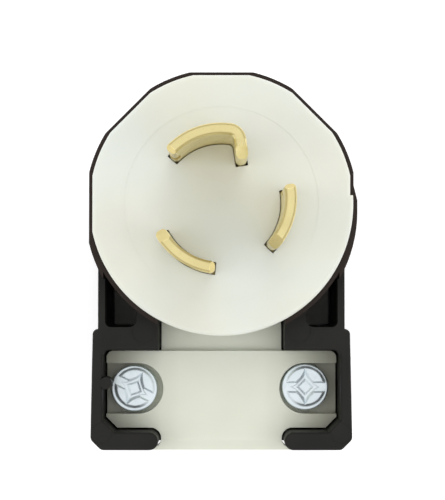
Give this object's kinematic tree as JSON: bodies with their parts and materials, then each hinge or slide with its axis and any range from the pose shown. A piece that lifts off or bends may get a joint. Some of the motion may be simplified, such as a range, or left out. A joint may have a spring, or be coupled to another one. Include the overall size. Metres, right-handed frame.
{
  "type": "right-angle locking power plug",
  "caption": "Right-angle locking plug with curved brass blades on a round white face, a black cover and a screwed white cord clamp.",
  "frame": {"origin": "where the axis of the blade circle meets the mating face", "axes": "+Z out of the face along the blades, +Y away from the cord exit, +X to the right seen from the mating side"},
  "size_m": [0.0573, 0.082, 0.0563],
  "materials": {
    "white_nylon": "translucent white nylon, soft satin gloss",
    "inner_nylon": "white nylon, as moulded",
    "clamp_nylon": "white nylon, as moulded",
    "black_nylon": "black nylon, fine moulded texture",
    "blade_brass": "bright stamped brass",
    "brass": "turned brass",
    "zinc_steel": "bright zinc plate",
    "spring_steel": "dark spring steel",
    "green_screw": "green dyed brass"
  },
  "bodies": {
    "cover": {"rear_cover": "black_nylon", "clamp_nut_left": "zinc_steel", "clamp_nut_right": "zinc_steel"},
    "assembly_screw": {"assembly_screw": "zinc_steel", "screw_retainer": "spring_steel"},
    "contact_module": {"face_plate": "white_nylon", "contact_carrier": "inner_nylon", "brass_insert": "brass", "carrier_screws": "zinc_steel", "ground_blade": "blade_brass", "line_a_blade": "blade_brass", "line_b_blade": "blade_brass"},
    "cord_clamp": {"cord_clamp_plate": "clamp_nylon"},
    "clamp_screw_left": {"clamp_screw_left": "zinc_steel"},
    "clamp_screw_right": {"clamp_screw_right": "zinc_steel"},
    "ground_terminal_screw": {"ground_terminal_screw": "green_screw"},
    "ground_pressure_plate": {"ground_pressure_plate": "zinc_steel"},
    "line_a_terminal_screw": {"line_a_terminal_screw": "brass"},
    "line_a_pressure_plate": {"line_a_pressure_plate": "zinc_steel"},
    "line_b_terminal_screw": {"line_b_terminal_screw": "brass"},
    "line_b_pressure_plate": {"line_b_pressure_plate": "zinc_steel"}
  },
  "joints": [
    {"name": "contact_module_lift", "type": "slide", "parent": "cover", "child": "contact_module", "axis": [0, 0, 1], "range_m": [0, 0.006]},
    {"name": "assembly_screw_turn", "type": "hinge", "parent": "cover", "child": "assembly_screw", "pos_m": [0, 0, -0.0345], "axis": [0, 0, -1], "range_deg": [0, 2720.42]},
    {"name": "cord_clamp_slide", "type": "slide", "parent": "cover", "child": "cord_clamp", "axis": [0, 0, -1], "range_m": [0, 0.007]},
    {"name": "clamp_screw_left_turn", "type": "hinge", "parent": "cord_clamp", "child": "clamp_screw_left", "pos_m": [-0.0189, -0.0401, -0.016], "axis": [0, 0, -1], "range_deg": [0, 2381.87]},
    {"name": "clamp_screw_right_turn", "type": "hinge", "parent": "cord_clamp", "child": "clamp_screw_right", "pos_m": [0.0189, -0.0401, -0.016], "axis": [0, 0, -1], "range_deg": [0, 2381.87]},
    {"name": "ground_pressure_plate_slide", "type": "slide", "parent": "contact_module", "child": "ground_pressure_plate", "axis": [-0.349, 0.9371, 0], "range_m": [0, 0.002]},
    {"name": "ground_terminal_screw_turn", "type": "hinge", "parent": "contact_module", "child": "ground_terminal_screw", "pos_m": [-0.00525, 0.0141, -0.013], "axis": [0.349, -0.9371, 0], "range_deg": [0, 906.82]},
    {"name": "line_a_pressure_plate_slide", "type": "slide", "parent": "contact_module", "child": "line_a_pressure_plate", "axis": [0.962, -0.2731, 0], "range_m": [0, 0.002]},
    {"name": "line_a_terminal_screw_turn", "type": "hinge", "parent": "contact_module", "child": "line_a_terminal_screw", "pos_m": [0.01448, -0.00411, -0.013], "axis": [-0.962, 0.2731, 0], "range_deg": [0, 906.82]},
    {"name": "line_b_pressure_plate_slide", "type": "slide", "parent": "contact_module", "child": "line_b_pressure_plate", "axis": [-0.5628, -0.8266, 0], "range_m": [0, 0.002]},
    {"name": "line_b_terminal_screw_turn", "type": "hinge", "parent": "contact_module", "child": "line_b_terminal_screw", "pos_m": [-0.00847, -0.01244, -0.013], "axis": [0.5628, 0.8266, 0], "range_deg": [0, 906.82]}
  ],
  "couplings": [
    {"joint": "clamp_screw_left_turn", "follows": "cord_clamp_slide", "rad_per_m": 5938.7},
    {"joint": "clamp_screw_right_turn", "follows": "cord_clamp_slide", "rad_per_m": 5938.7},
    {"joint": "assembly_screw_turn", "follows": "contact_module_lift", "rad_per_m": 7913.3},
    {"joint": "ground_terminal_screw_turn", "follows": "ground_pressure_plate_slide", "rad_per_m": 7913.3},
    {"joint": "line_a_terminal_screw_turn", "follows": "line_a_pressure_plate_slide", "rad_per_m": 7913.3},
    {"joint": "line_b_terminal_screw_turn", "follows": "line_b_pressure_plate_slide", "rad_per_m": 7913.3}
  ]
}
